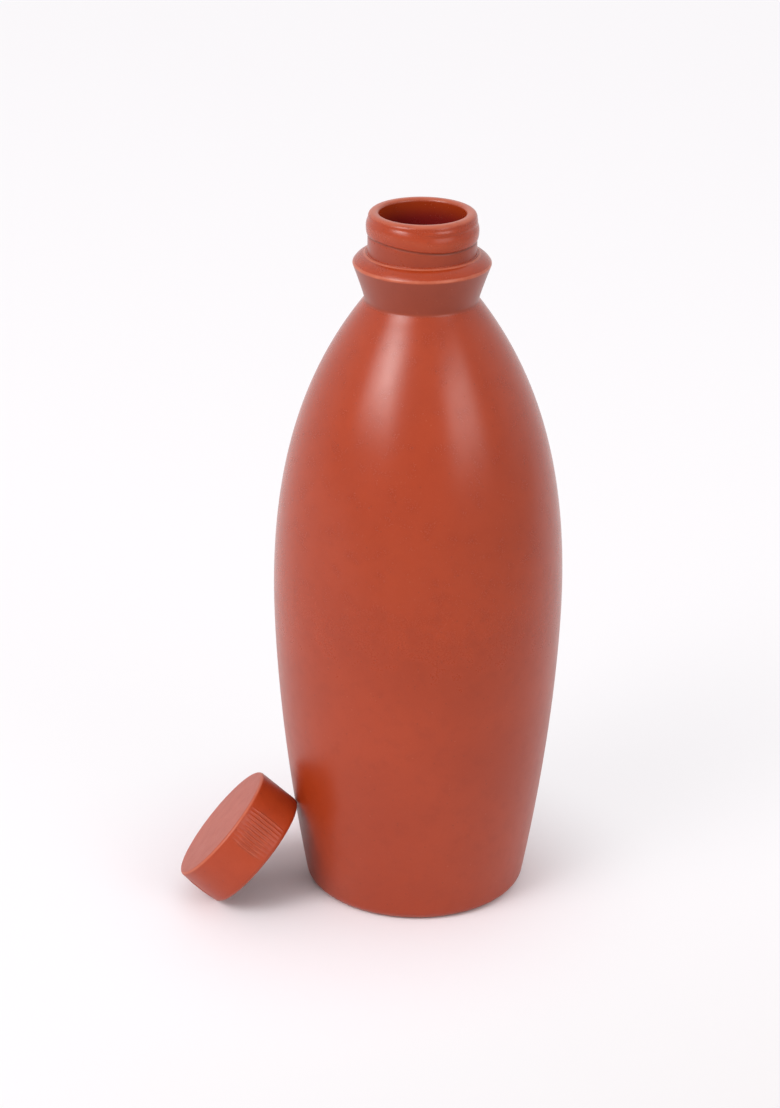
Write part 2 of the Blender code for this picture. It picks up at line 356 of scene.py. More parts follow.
        rough = self.burnish.value + (mottle - NOISE_MIDDLE) * self.rough_mottle
        rough = rough + (grain - NOISE_MIDDLE) * self.rough_grain + worn_and_highlight * self.rough_rubbed
        rough = rough + masks.painted_shade * self.rough_painted_shade + masks.handled
        height = wave * self.wave_depth + grain * self.grain_depth - pore * self.pore_depth
        graph.end(graph.node("ShaderNodeBsdfPrincipled", None, {
            "Base Color": colour,
            "Roughness": rough,
            "Specular IOR Level": self.sheen_level,
            "IOR": self.refraction,
            "Normal": graph.relief(height),
        }))
        return made


@dataclass(frozen=True)
class SiliconeFinish:
    """Milky silicone of the sealing ring, with moulding haze and a little clay dust on it."""

    name: str = "milky_silicone"
    body: Colour = (0.62, 0.60, 0.56)
    milky: Colour = (0.72, 0.70, 0.66)
    dust: Colour = (0.52, 0.34, 0.26)
    haze_scale: float = 160.0
    grain_scale: float = 3200.0
    milky_span: Span = (0.35, 0.70)
    dusty_span: Span = (0.62, 0.80)
    dusty_share: float = 0.35
    rough: float = 0.42
    rough_haze: float = 0.2
    grain_depth: float = 0.000006

    def material(self) -> bpy.types.Material:
        """Make the material.

        Returns:
            The finished material.
        """
        made, graph = new_material(self.name)
        place = graph.place()
        haze = graph.noise(place, self.haze_scale)
        grain = graph.noise(place, self.grain_scale, detail=2.0)
        colour = graph.mixed(haze.lifted(self.milky_span), self.body, self.milky)
        dusty = haze.lifted(self.dusty_span) * self.dusty_share
        graph.end(graph.node("ShaderNodeBsdfPrincipled", None, {
            "Base Color": graph.mixed(dusty, colour, self.dust),
            "Roughness": self.rough + (haze - NOISE_MIDDLE) * self.rough_haze,
            "Normal": graph.relief(grain * self.grain_depth),
        }))
        return made


class Rounding(NamedTuple):
    """Corner of a half section, the length cut off each of its legs, and its facets."""

    corner: Point
    cut: float
    facets: int


Section = tuple[list[Point], list[Rounding]]


class Wheel:
    """Potter's wheel: draws a half section, rounds its corners and spins it into a shell."""

    @staticmethod
    def deselect() -> None:
        """Leave nothing selected."""
        bpy.ops.object.select_all(action="DESELECT")

    @staticmethod
    def select_verts(item: bpy.types.Object, test: Callable[[Vector], bool]) -> int:
        """Select a mesh's vertices by place, in edit mode.

        Args:
            item: The object being edited.
            test: Says of a place whether it is wanted.

        Returns:
            How many vertices are selected.
        """
        mesh = bmesh.from_edit_mesh(item.data)
        for vertex in mesh.verts:
            vertex.select = test(vertex.co)
        mesh.select_flush_mode()
        bmesh.update_edit_mesh(item.data)
        return sum(vertex.select for vertex in mesh.verts)

    @staticmethod
    def at_spot(spot: Vector, place: Vector) -> bool:
        """Whether a place is that spot."""
        return (place - spot).length < MERGE_DISTANCE

    @classmethod
    def turned(cls, name: str, points: Sequence[Point], rounding: Sequence[Rounding], steps: int,
               closed: bool = False) -> bpy.types.Object:
        """Shell of a half section, spun round the Z axis.

        Args:
            name: Name of the object.
            points: Radius and height of each point of the half section, in order.
            rounding: The corners to round.
            steps: Columns to the full turn.
            closed: Whether the section's last point joins its first.

        Returns:
            The object, at the origin, with its normals outwards.
        """
        cls.deselect()
        radius, height = points[0]
        bpy.ops.mesh.primitive_plane_add(size=SEED_SIZE, location=(radius, 0.0, height))
        bpy.ops.object.transform_apply(location=True, rotation=True, scale=True)
        item = bpy.context.object
        item.name = item.data.name = name
        bpy.ops.object.mode_set(mode="EDIT")
        bpy.ops.mesh.select_mode(type="VERT")
        bpy.ops.mesh.merge(type="CENTER")
        path = [*points, points[0]] if closed else points
        for (from_radius, from_height), (to_radius, to_height) in zip(path, path[1:]):
            step = (to_radius - from_radius, 0.0, to_height - from_height)
            bpy.ops.mesh.extrude_region_move(TRANSFORM_OT_translate={"value": step})
        bpy.ops.mesh.select_all(action="SELECT")
        bpy.ops.mesh.remove_doubles(threshold=MERGE_DISTANCE)
        for corner, cut, facets in rounding:
            spot = Vector((corner[0], 0.0, corner[1]))
            found = cls.select_verts(item, partial(cls.at_spot, spot))
            if found != 1:
                raise ValueError(f"{name} has {found} corners at {corner}")
            bpy.ops.mesh.bevel(offset_type="OFFSET", offset=cut, segments=facets, affect="VERTICES")
        bpy.ops.mesh.select_all(action="SELECT")
        bpy.ops.mesh.spin(
            steps=steps, angle=math.tau, center=(0.0, 0.0, 0.0), axis=(0.0, 0.0, 1.0))
        bpy.ops.mesh.select_all(action="SELECT")
        bpy.ops.mesh.remove_doubles(threshold=MERGE_DISTANCE)
        bpy.ops.mesh.normals_make_consistent(inside=False)
        bpy.ops.object.mode_set(mode="OBJECT")
        return item

    @classmethod
    def smoothed(cls, item: bpy.types.Object) -> None:
        """Shade an object smooth, apart from its true edges.

        Args:
            item: The object.
        """
        cls.deselect()
        item.select_set(True)
        bpy.context.view_layer.objects.active = item
        bpy.ops.object.shade_smooth_by_angle(angle=SHARP_ANGLE)


@dataclass(frozen=True)
class Thread:
    """Right-handed ridge that swells out of a round wall along a helix and fades at both ends."""

    turns: float
    fade: float
    first_height: float
    width: float
    pitch: float = 0.0028
    sharpness: float = 1.2

    def share(self, angle: float, height: float) -> float:
        """How far the ridge stands out.

        Args:
            angle: Angle round the axis.
            height: Height along the axis.

        Returns:
            Share of the full depth, from 0 to 1.
        """
        total = 0.0
        end = self.turns * math.tau
        along = angle % math.tau
        while along <= end:
            fade = smoothstep(along / self.fade) * smoothstep((end - along) / self.fade)
            offset = (height - self.first_height - self.pitch * along / math.tau) / (self.width / 2)
            if abs(offset) < 1:
                total += fade * math.cos(offset * math.pi / 2) ** self.sharpness
            along += math.tau
        return min(total, 1.0)


class Swell(NamedTuple):
    """Soft swelling along the neck: its drop, its reach, its height and the angles of its fades."""

    drop: float
    reach: float
    height: float
    fades: tuple[float, ...]


@dataclass(frozen=True)
class NeckRidge:
    """Thread of the neck: soft above, crisp below, with a shallow crease under its lower edge.

    It climbs round the back as a right-handed helix and glides down again across the front, where
    its worn tail runs out above its start. Drops are measured down from the top of the lip.
    """

    crest_drops: Span = (0.00445, 0.00680)
    edge_drops: Span = (0.00762, 0.00965)
    crest_glide: tuple[float, ...] = in_radians(-122, -72)
    edge_glide: tuple[float, ...] = in_radians(-145, -55)
    depth: float = 0.00060
    upper_reach: float = 0.0030
    upper_power: float = 1.2
    crease_depth: float = 0.00014
    crease_reach: float = 0.0007
    crease_shift: float = 0.25
    tail: Swell = Swell(0.0029, 0.0014, 0.00020, in_radians(-105, -70, -30, 30))
    groove: Swell = Swell(0.0016, 0.0010, -0.00010, in_radians(-140, -115, -40, 0))

    @staticmethod
    def line(angle: float, glide: tuple[float, ...], drops: Span) -> float:
        """Drop of a line that climbs round the back and glides down across the front.

        Args:
            angle: Angle round the axis.
            glide: Angles at which the glide starts and ends.
            drops: The line's least and greatest drop.

        Returns:
            The line's drop at that angle.
        """
        high, low = drops
        glide_angle = glide[1] - glide[0]
        climb_angle = math.tau - glide_angle
        along = (angle - glide[1]) % math.tau
        if along < climb_angle:
            return low + (high - low) * along / climb_angle
        return high + (low - high) * smoothstep((along - climb_angle) / glide_angle)

    @staticmethod
    def window(angle: float, fades: tuple[float, ...]) -> float:
        """Soft window of angles.

        Args:
            angle: Angle round the axis.
            fades: Two angles between which it fades in, and two between which it fades out.

        Returns:
            Share from 0 outside to 1 inside.
        """
        first, full, ebbing, last = fades
        turned = (angle - first) % math.tau + first
        fade_in = smoothstep((turned - first) / (full - first))
        return fade_in * smoothstep((last - turned) / (last - ebbing))

    @staticmethod
    def hump(offset: float) -> float:
        """Soft hump over -1 to 1."""
        return math.cos(offset * math.pi / 2) ** 2 if abs(offset) < 1 else 0.0

    def ridge_at(self, angle: float, drop: float) -> float:
        """Profile of the ridge.

        Args:
            angle: Angle round the axis.
            drop: Drop below the top of the lip.

        Returns:
            Share of the ridge's full height, from 0 to 1.
        """
        crest = self.line(angle, self.crest_glide, self.crest_drops)
        edge = self.line(angle, self.edge_glide, self.edge_drops)
        if drop >= edge:
            return 0.0
        if drop >= crest:
            return math.sqrt(1 - ((drop - crest) / (edge - crest)) ** 2)
        rise = min((crest - drop) / self.upper_reach, 1.0)
        return math.cos(rise * math.pi / 2) ** self.upper_power

    def crease_at(self, angle: float, drop: float) -> float:
        """Share of the crease's full depth."""
        edge = self.line(angle, self.edge_glide, self.edge_drops)
        return self.hump((drop - edge - self.crease_reach * self.crease_shift) / self.crease_reach)

    def height_at(self, angle: float, drop: float) -> float:
        """How far the neck's wall stands out of its plain round.

        Args:
            angle: Angle round the axis.
            drop: Drop below the top of the lip.

        Returns:
            Height in metres, less than 0 in the crease and the groove.
        """
        height = self.depth * self.ridge_at(angle, drop)
        height -= self.crease_depth * self.crease_at(angle, drop)
        for swell in (self.tail, self.groove):
            share = self.hump((drop - swell.drop) / swell.reach) * self.window(angle, swell.fades)
            height += swell.height * share
        return height


@dataclass(frozen=True)
class BottleMarks:
    """Where the bottle is paler, worn and with painted highlight, where shade is painted on it, and
    how strongly.

    A span is counted in metres from the radius or the height that it belongs to.
    """

    lip: Span = (-0.0012, -0.0002)
    lip_share: float = 0.8
    edge_out: Span = (-0.0006, -0.0002)
    edge_up: Span = (-0.0006, -0.0001)
    edge_share: float = 1.1
    bead_start: Span = (0.0002, 0.0005)
    bead_end: Span = (0.0012, 0.0016)
    bead_foot: Span = (-0.0006, -0.0003)
    bead_top: Span = (0.0006, 0.0012)
    bead_share: float = 0.8
    foot: Span = (0.0004, 0.0022)
    foot_share: float = 0.5
    crest_share: float = 0.20
    cone_foot: Span = (-0.0010, 0.0002)
    cone_top: Span = (-0.0008, -0.0002)
    cone_share: float = 0.50
    band_foot: Span = (0.0, 0.001)
    band_top: Span = (0.004, 0.007)
    band_share: float = 0.30
    crease_share: float = 0.70
    throat: Span = (0.0002, 0.0008)
    throat_foot: Span = (-0.060, -0.040)
    throat_top: Span = (-0.008, -0.0010)
    throat_share: float = 0.95
    handled: Span = (0.04, 0.14)
    handled_roughness: float = 0.11


@dataclass(frozen=True)
class Bottle:
    """The hollow bottle: one slip casting with its collar, threaded neck and rolled lip."""

    height: float = 0.250
    belly_radius: float = 0.0507
    belly_height: float = 0.1126
    foot_radius: float = 0.0388
    foot_cut: float = 0.0034
    flank_power: float = 1.72
    shoulder_share: float = 0.275
    shoulder_powers: tuple[float, float] = (2.1, 4.0)
    wall: float = 0.006
    floor: float = 0.007
    floor_cut: float = 0.0078
    waist_radius: float = 0.0194
    waist_height: float = 0.2196
    waist_cut: float = 0.0006
    collar_radius: float = 0.02362
    collar_height: float = 0.2323
    collar_dome: float = 0.0033
    collar_cut: float = 0.0004
    dome_end: float = math.radians(38)
    dome_hidden_rows: int = 3
    flare_power: float = 1.12
    neck_radius: float = 0.0185
    neck_cut: float = 0.0005
    neck_margin: float = 1.05
    bead_radius: float = 0.00045
    bead_height: float = 0.00030
    bead_cut: float = 0.7
    lip_radius: float = 0.0184
    lip_cut: float = 0.0018
    lip_reach: float = 0.0036
    mouth_radius: float = 0.0147
    mouth_cut: float = 0.0012
    ridge: NeckRidge = NeckRidge()
    crest_power: int = 6
    marks: BottleMarks = BottleMarks()
    columns: int = 192
    halvings: int = 40

    @property
    def land(self) -> float:
        """Height at which the collar's dome meets the neck."""
        return self.collar_height + self.collar_dome

    def radius_at(self, height: float) -> float:
        """Outline of the body.

        Args:
            height: Height below the waist.

        Returns:
            Outer radius there.
        """
        if height <= self.belly_height:
            share = (self.belly_height - height) / self.belly_height
            taper = (self.belly_radius - self.foot_radius) * share ** self.flank_power
            return self.belly_radius - taper
        share = (height - self.belly_height) / (self.waist_height - self.belly_height)
        gentle, steep = self.shoulder_powers
        fall = (1 - self.shoulder_share) * share ** gentle + self.shoulder_share * share ** steep
        return self.belly_radius - (self.belly_radius - self.waist_radius) * fall

    def neck_at(self, height: float) -> float:
        """Plain outer radius of the neck, which draws in slightly to its lip."""
        reach = smoothstep((self.height - height - self.lip_cut) / (self.lip_reach - self.lip_cut))
        return self.lip_radius + (self.neck_radius - self.lip_radius) * reach

    def throat_end(self) -> float:
        """Find where the shoulder's inner wall has drawn in to the throat.

        Returns:
            The height of that place.
        """
        low, high = self.belly_height, self.waist_height
        for _ in range(self.halvings):
            middle = (low + high) / 2
            if self.radius_at(middle) - self.wall > self.mouth_radius:
                low = middle
            else:
                high = middle
        return low

    def outside(self, top: float, bottom: float, count: int) -> list[Point]:
        """Points down the body's outer wall, without the first."""
        return [(self.radius_at(z), z) for z in spaced(top, bottom, count)[1:]]

    def dome(self) -> list[Point]:
        """Draw the collar's dome.

        Returns:
            Points from beside the bead out to the collar's edge.
        """
        width = (self.collar_radius - self.neck_radius) / math.cos(self.dome_end)
        rise = self.collar_dome / (1 - math.sin(self.dome_end))
        turns = spaced(math.pi / 2, self.dome_end, count=16)[self.dome_hidden_rows:]
        return [(self.neck_radius + width * math.cos(turn), self.land - rise * (1 - math.sin(turn)))
                for turn in turns]

    def flare(self) -> list[Point]:
        """Draw the hollow cone.

        Returns:
            Points from below the collar's edge in to the waist.
        """
        width = self.collar_radius - self.waist_radius
        rise = self.collar_height - self.waist_height
        return [(self.waist_radius + width * share ** self.flare_power,
                 self.waist_height + rise * share)
                for share in spaced(1.0, 0.0, count=14)[1:]]

    def section(self) -> Section:
        """Draw the half section, up the inside and down the outside.

        Returns:
            Its points, and how its corners are rounded.
        """
        inside = [(self.radius_at(z) - self.wall, z)
                  for z in spaced(self.floor, self.throat_end(), count=30)]
        mouth, lip = (self.mouth_radius, self.height), (self.lip_radius, self.height)
        neck_top = self.height - self.neck_margin * self.lip_cut
        neck = [(self.neck_at(z), z)
                for z in spaced(neck_top, self.land + 2 * self.neck_cut, count=110)]
        neck_foot = (self.neck_radius, self.land)
        bead = (self.neck_radius + 2 * self.bead_radius, self.land + self.bead_height)
        dome, flare = self.dome(), self.flare()
        shoulder = self.outside(self.waist_height, self.belly_height, count=34)
        flank = self.outside(self.belly_height, 0.0, count=26)
        points = [(0.0, self.floor), *inside, mouth, lip, *neck, neck_foot, bead, *dome, *flare,
                  *shoulder, *flank, (0.0, 0.0)]
        return points, [
            Rounding(inside[0], self.floor_cut, facets=8),
            Rounding(mouth, self.mouth_cut, facets=7),
            Rounding(lip, self.lip_cut, facets=9),
            Rounding(neck_foot, self.neck_cut * self.bead_cut, facets=4),
            Rounding(bead, self.bead_radius * self.bead_cut, facets=4),
            Rounding(dome[-1], self.collar_cut, facets=6),
            Rounding(flare[-1], self.waist_cut, facets=4),
            Rounding(flank[-1], self.foot_cut, facets=8),
        ]

    def raise_ridge(self, item: bpy.types.Object) -> None:
        """Swell the neck's outer wall along the thread, and mark its crest, which is made paler,
        worn and with painted highlight, and its crease, which is darkened as painted shade.

        Args:
            item: The turned bottle.
        """
        crest = item.data.attributes.new("ridge_crest", "FLOAT", "POINT")
        crease = item.data.attributes.new("ridge_crease_shade", "FLOAT", "POINT")
        inner_limit = (self.mouth_radius + self.lip_radius) / 2
        for vertex in item.data.vertices:
            x, y, z = vertex.co
            radius = math.hypot(x, y)
            if z < self.land or radius < inner_limit:
                continue
            angle, drop = math.atan2(y, x), self.height - z
            grown = 1 + self.ridge.height_at(angle, drop) / radius
            vertex.co = (x * grown, y * grown, z)
            crest.data[vertex.index].value = self.ridge.ridge_at(angle, drop) ** self.crest_power
            crease.data[vertex.index].value = self.ridge.crease_at(angle, drop)

    def worn_and_painted_light(self, graph: Graph, place: Wire) -> WornAndPaintedLight:
        """Mask the rims paler, worn and with painted highlight, the cone, neck band and crease
        darkened as painted shade, the throat darkened as painted shade, and the low wall's
        roughness.

        Args:
            graph: The material's graph.
            place: Coordinates.

        Returns:
            The masks.
        """
        marks = self.marks
        x, y, z = (graph.channel(place, i) for i in range(3))
        flat = graph.node("ShaderNodeCombineXYZ", None, {0: x, 1: y, 2: 0.0})
        away = graph.vector("LENGTH", flat, (0.0, 0.0, 0.0), 1)

        # Paler lip, collar edge, bead and ridge crest: worn clay with a painted highlight; the paler
        # foot is worn
        lip = z.lifted(marks.lip, self.height)
        edge = away.lifted(marks.edge_out, self.collar_radius)
        edge = edge * z.lifted(marks.edge_up, self.collar_height)
        off_neck = away.lifted(marks.bead_start, self.neck_radius)
        bead = off_neck * away.sunk(marks.bead_end, self.neck_radius)
        bead = bead * z.lifted(marks.bead_foot, self.land) * z.sunk(marks.bead_top, self.land)
        foot = z.sunk(marks.foot)
        worn_and_highlight = lip * marks.lip_share + edge * marks.edge_share + bead * marks.bead_share
        worn_and_highlight = worn_and_highlight + foot * marks.foot_share + graph.mark("ridge_crest") * marks.crest_share

        # Painted shade on the downward-facing cone, the neck band under the thread and the crease
        # under it
        cone = z.lifted(marks.cone_foot, self.waist_height)
        cone = cone * z.sunk(marks.cone_top, self.collar_height)
        band = z.lifted(marks.band_foot, self.land) * z.sunk(marks.band_top, self.land)
        band = band * (1.0 - off_neck)
        painted_shade_marks = cone * marks.cone_share + band * marks.band_share
        painted_shade_marks = painted_shade_marks + graph.mark("ridge_crease_shade") * marks.crease_share

        # Painted shade inside the throat
        throat = away.sunk(marks.throat, self.mouth_radius)
        throat = throat * z.lifted(marks.throat_foot, self.height)
        throat = throat * z.sunk(marks.throat_top, self.height)
        handled = z.sunk(marks.handled) * marks.handled_roughness
        return WornAndPaintedLight(worn_and_highlight, painted_shade_marks, throat * marks.throat_share, handled)

    def build(self, finish: ClayFinish) -> bpy.types.Object:
        """Turn the bottle, raise its thread and dress it.

        Args:
            finish: Its clay.

        Returns:
            The finished bottle.
        """
        points, rounding = self.section()
        item = Wheel.turned("bottle_clay_body", points, rounding, self.columns)
        self.raise_ridge(item)
        Wheel.smoothed(item)
        item.data.materials.append(finish.material(self.worn_and_painted_light))
        return item


@dataclass(frozen=True)
class CapMarks:
    """Where the cap is paler, worn and with painted highlight, where shade is painted on it, and how
    strongly.

    A span is counted in metres from the radius or the height that it belongs to, and that of the
    roof's edge in shares of the length cut off there.
    """

    edge: Span = (-0.80, -0.60)
    edge_share: float = 0.9
    rib: Span = (0.0001, 0.0003)
    rib_share: float = 0.5
    rim: Span = (0.0, 0.0010)
    rim_share: float = 0.6
    groove_foot: Span = (0.0, 0.0010)
    groove_top: Span = (-0.0010, 0.0)
    groove_wall: Span = (-0.0010, -0.0005)
    groove_end: Span = (0.0, 0.00025)
    groove_share: float = 0.20
    bore: Span = (0.0002, 0.0008)
    ceiling: Span = (0.0002, 0.0010)
    inside_share: float = 0.7


@dataclass(frozen=True)
class ScrewCap:
    """The ribbed screw cap and the sealing ring under its roof, leaning against the bottle."""

    bore: float = 0.01945
    wall: float = 0.0035
    height: float = 0.0172
    roof: float = 0.0024
    roof_cut: float = 0.0011
    roof_rings: tuple[float, ...] = (0.0, 0.004, 0.010, 0.016)
    rim_cut: float = 0.0016
    bore_cut: float = 0.0006
    ceiling_cut: float = 0.0008
    ceiling_ring: float = 0.012
    cut_margin: float = 1.6
    ridge: Thread = Thread(turns=0.62, fade=math.radians(35), first_height=0.0019, width=0.0018)
    ridge_depth: float = 0.0007
    ridge_reach: float = 0.0048
    ribs_per_turn: int = 96
    ribs_per_patch: int = 10
    patches: int = 3
    patch_margin: float = 0.6
    columns_per_rib: int = 8
    column_margin: float = 0.3
    rib_steps: tuple[tuple[int, float], ...] = ((1, 0.62), (0, 0.38))
    rib_height: float = 0.00034
    rib_end: float = 0.0002
    rib_drop: float = 0.0042
    rib_length: float = 0.0086
    ring_thickness: float = 0.0012
    ring_width: float = 0.0054
    ring_cut: float = 0.0003
    gap: float = 0.0003
    tilt: float = math.radians(50.0)
    facing: float = math.radians(175.2)
    turn: float = math.radians(129.0)
    rim_centre: Place = (-0.0565054, -0.0194564, 0.0169200)
    marks: CapMarks = CapMarks()

    @property
    def radius(self) -> float:
        """Outer radius of the wall."""
        return self.bore + self.wall

    @property
    def ceiling(self) -> float:
        """Height of the roof's underside above the rim."""
        return self.height - self.roof

    @property
    def rib_band(self) -> Span:
        """Heights at which the finger ribs start and end."""
        high = self.height - self.rib_drop
        return high - self.rib_length, high

    def pose(self) -> Matrix:
        """Where the cap lies: its upright frame taken to its place on the table."""
        lean = Matrix.Rotation(self.facing, 4, "Z") @ Matrix.Rotation(self.tilt, 4, "Y")
        return Matrix.Translation(self.rim_centre) @ lean @ Matrix.Rotation(self.turn, 4, "Z")

    def lay_down(self, item: bpy.types.Object) -> None:
        """Take an upright piece to where the cap lies, with its place kept in its mesh."""
        item.data.transform(self.pose())
        item.data.update()

    def columns_from_rib(self, angle: float) -> float:
        """How far an angle lies from the middle of the nearest finger rib.

        Args:
            angle: Angle round the upright cap's axis.

        Returns:
            The distance, in columns of the mesh.
        """
        pitch = math.tau / self.ribs_per_turn
        patch_turn = math.tau / self.patches
        nearest = round(angle / patch_turn) * patch_turn
        half = (self.ribs_per_patch - 1) / 2
        place = (angle - nearest) / pitch
        rib = min(max(round(place + half) - half, -half), half)
        return abs(place - rib) * self.columns_per_rib

    def on_rib(self, half_columns: int, place: Vector) -> bool:
        """Tell one step of the finger ribs from the rest of the wall.

        Args:
            half_columns: Columns that the step has on either side of a rib's middle.
            place: A place on the upright cap.

        Returns:
            Whether the place belongs to the step.
        """
        low, high = self.rib_band
        inset = self.rib_end * half_columns
        if math.hypot(place.x, place.y) < self.radius - ON_WALL:
            return False
        if not low - inset < place.z < high + inset:
            return False
        columns = self.columns_from_rib(math.atan2(place.y, place.x))
        return columns < half_columns + self.column_margin

    def raise_ribs(self, item: bpy.types.Object) -> None:
        """Fatten the outer wall rib by rib, in steps that leave each rib with a rounded crest.

        Args:
            item: The turned cap.
        """
        bpy.context.view_layer.objects.active = item
        bpy.ops.object.mode_set(mode="EDIT")
        for half_columns, share in self.rib_steps:
            found = Wheel.select_verts(item, partial(self.on_rib, half_columns))
            raised = share * self.rib_height
            bpy.ops.transform.shrink_fatten(value=raised)
            log.info("finger ribs: %d points raised by %.2f mm", found, MILLIMETRES * raised)
        bpy.ops.object.mode_set(mode="OBJECT")
        patch = item.data.attributes.new("rib_patch", "FLOAT", "POINT")
        for vertex in item.data.vertices:
            columns = self.columns_from_rib(math.atan2(vertex.co.y, vertex.co.x))
            inside = columns < self.patch_margin * self.columns_per_rib
            patch.data[vertex.index].value = float(inside)

    def raise_ridge(self, item: bpy.types.Object) -> None:
        """Swell the bore inwards along the ridge that catches the neck's thread.

        Args:
            item: The turned cap.
        """
        for vertex in item.data.vertices:
            x, y, z = vertex.co
            radius = math.hypot(x, y)
            if abs(radius - self.bore) > ON_WALL or z > self.ceiling - self.ceiling_cut:
                continue
            shrunk = 1 - self.ridge.share(math.atan2(y, x), z) * self.ridge_depth / radius
            vertex.co = (x * shrunk, y * shrunk, z)

    def section(self) -> Section:
        """Draw the half section over the roof, down the outside and up the threaded inside.

        Returns:
            Its points, and how its corners are rounded.
        """
        roof_edge, outer_rim = (self.radius, self.height), (self.radius, 0.0)
        inner_rim, corner = (self.bore, 0.0), (self.bore, self.ceiling)
        rings = (*self.roof_rings, self.radius - 2 * self.roof_cut)
        roof = [(radius, self.height) for radius in rings]
        wall_top = (self.radius, self.height - self.cut_margin * self.roof_cut)
        low, high = self.rib_band
        wall = [(self.radius, z) for z in spaced(high, low, count=7)]
        bore_foot = self.bore_cut * self.cut_margin
        bore = [(self.bore, z) for z in spaced(bore_foot, self.ridge_reach, count=15)]
        bore_top = (self.bore, self.ceiling - 3 * self.ceiling_cut)
        ceiling = [(radius, self.ceiling) for radius in (self.ceiling_ring, 0.0)]
        points = [*roof, roof_edge, wall_top, *wall, outer_rim, inner_rim, *bore, bore_top, corner,
                  *ceiling]
        return points, [
            Rounding(roof_edge, self.roof_cut, facets=6),
            Rounding(outer_rim, self.rim_cut, facets=5),
            Rounding(inner_rim, self.bore_cut, facets=3),
            Rounding(corner, self.ceiling_cut, facets=3),
        ]

    def worn_and_painted_light(self, graph: Graph, place: Wire) -> WornAndPaintedLight:
        """Mask the roof edge and rib crests paler, worn and with painted highlight, the rim paler
        where worn, and the grooves between the ribs and the inside darkened as painted shade.

        Args:
            graph: The material's graph.
            place: Coordinates.

        Returns:
            The masks.
        """
        marks = self.marks
        axis = tuple(self.pose().to_3x3() @ Vector((0.0, 0.0, 1.0)))
        off = graph.vector("SUBTRACT", place, self.rim_centre)
        along = graph.vector("DOT_PRODUCT", off, axis, 1)
        spine = graph.node("ShaderNodeCombineXYZ", None, {i: along * axis[i] for i in range(3)})
        away = graph.vector("DISTANCE", off, spine, 1)

        # Paler roof edge and rib crests: worn clay with a painted highlight; the paler rim is worn
        edge_start, edge_end = marks.edge
        edge_span = (edge_start * self.roof_cut, edge_end * self.roof_cut)
        edge = (away + along).lifted(edge_span, self.radius + self.height)
        rib = away.lifted(marks.rib, self.radius)
        rim = along.sunk(marks.rim)
        worn_and_highlight = edge * marks.edge_share + rib * marks.rib_share + rim * marks.rim_share

        # Painted shade in the grooves between the ribs
        low, high = self.rib_band
        groove = along.lifted(marks.groove_foot, low) * along.sunk(marks.groove_top, high)
        groove = groove * away.lifted(marks.groove_wall, self.radius) * graph.mark("rib_patch")
        groove = groove * away.sunk(marks.groove_end, self.radius)

        # Painted shade inside the cap
        inside = away.sunk(marks.bore, self.bore) * along.sunk(marks.ceiling, self.ceiling)
        return WornAndPaintedLight(worn_and_highlight, groove * marks.groove_share, inside * marks.inside_share)

    def build_cap(self, finish: ClayFinish) -> bpy.types.Object:
        """Turn the cap, raise its ribs and inner ridge, dress it and lay it down.

        Args:
            finish: Its clay.

        Returns:
            The finished cap.
        """
        points, rounding = self.section()
        columns = self.columns_per_rib * self.ribs_per_turn
        item = Wheel.turned("ribbed_screw_cap", points, rounding, columns)
        self.raise_ribs(item)
        self.raise_ridge(item)
        Wheel.smoothed(item)
        self.lay_down(item)
        item.data.materials.append(finish.material(self.worn_and_painted_light))
        return item

    def build_ring(self, finish: SiliconeFinish) -> bpy.types.Object:
        """Turn the sealing ring, dress it and lay it down.

        Args:
            finish: Its silicone.

        Returns:
            The finished ring.
        """
        outer = self.bore - self.gap
        inner = outer - self.ring_width
        top = self.ceiling - self.gap
        bottom = top - self.ring_thickness
        corners = [(inner, top), (outer, top), (outer, bottom), (inner, bottom)]
        rounding = [Rounding(corner, self.ring_cut, facets=3) for corner in corners]
        item = Wheel.turned(
            "silicone_sealing_ring", corners, rounding, self.ribs_per_turn, closed=True)
        Wheel.smoothed(item)
        self.lay_down(item)
        item.data.materials.append(finish.material())
        return item


@dataclass(frozen=True)
class Softbox:
    """Studio lamp that looks at the bottle.

    Bearing and elevation are in degrees, the bearing from the viewer's side and positive to the
    right. The radiance is that of the lamp's face.
    """

    name: str
    bearing: float
    elevation: float
    distance: float
    width: float
    height: float
    radiance: float
    aim: Place = (0.0, 0.0, 0.15)

    def build(self) -> None:
        """Hang the lamp."""
        bearing, elevation = in_radians(self.bearing, self.elevation)
        away = Vector((
            math.sin(bearing) * math.cos(elevation),
            -math.cos(bearing) * math.cos(elevation),
            math.sin(elevation)))
        Wheel.deselect()
        bpy.ops.object.light_add(type="AREA", location=Vector(self.aim) + away * self.distance)
        lamp = bpy.context.object
        lamp.name = lamp.data.name = self.name
        lamp.rotation_euler = away.to_track_quat("Z", "Y").to_euler()
        lamp.data.shape = "RECTANGLE"
        lamp.data.size = self.width
        lamp.data.size_y = self.height
        lamp.data.energy = self.radiance * math.pi * self.width * self.height


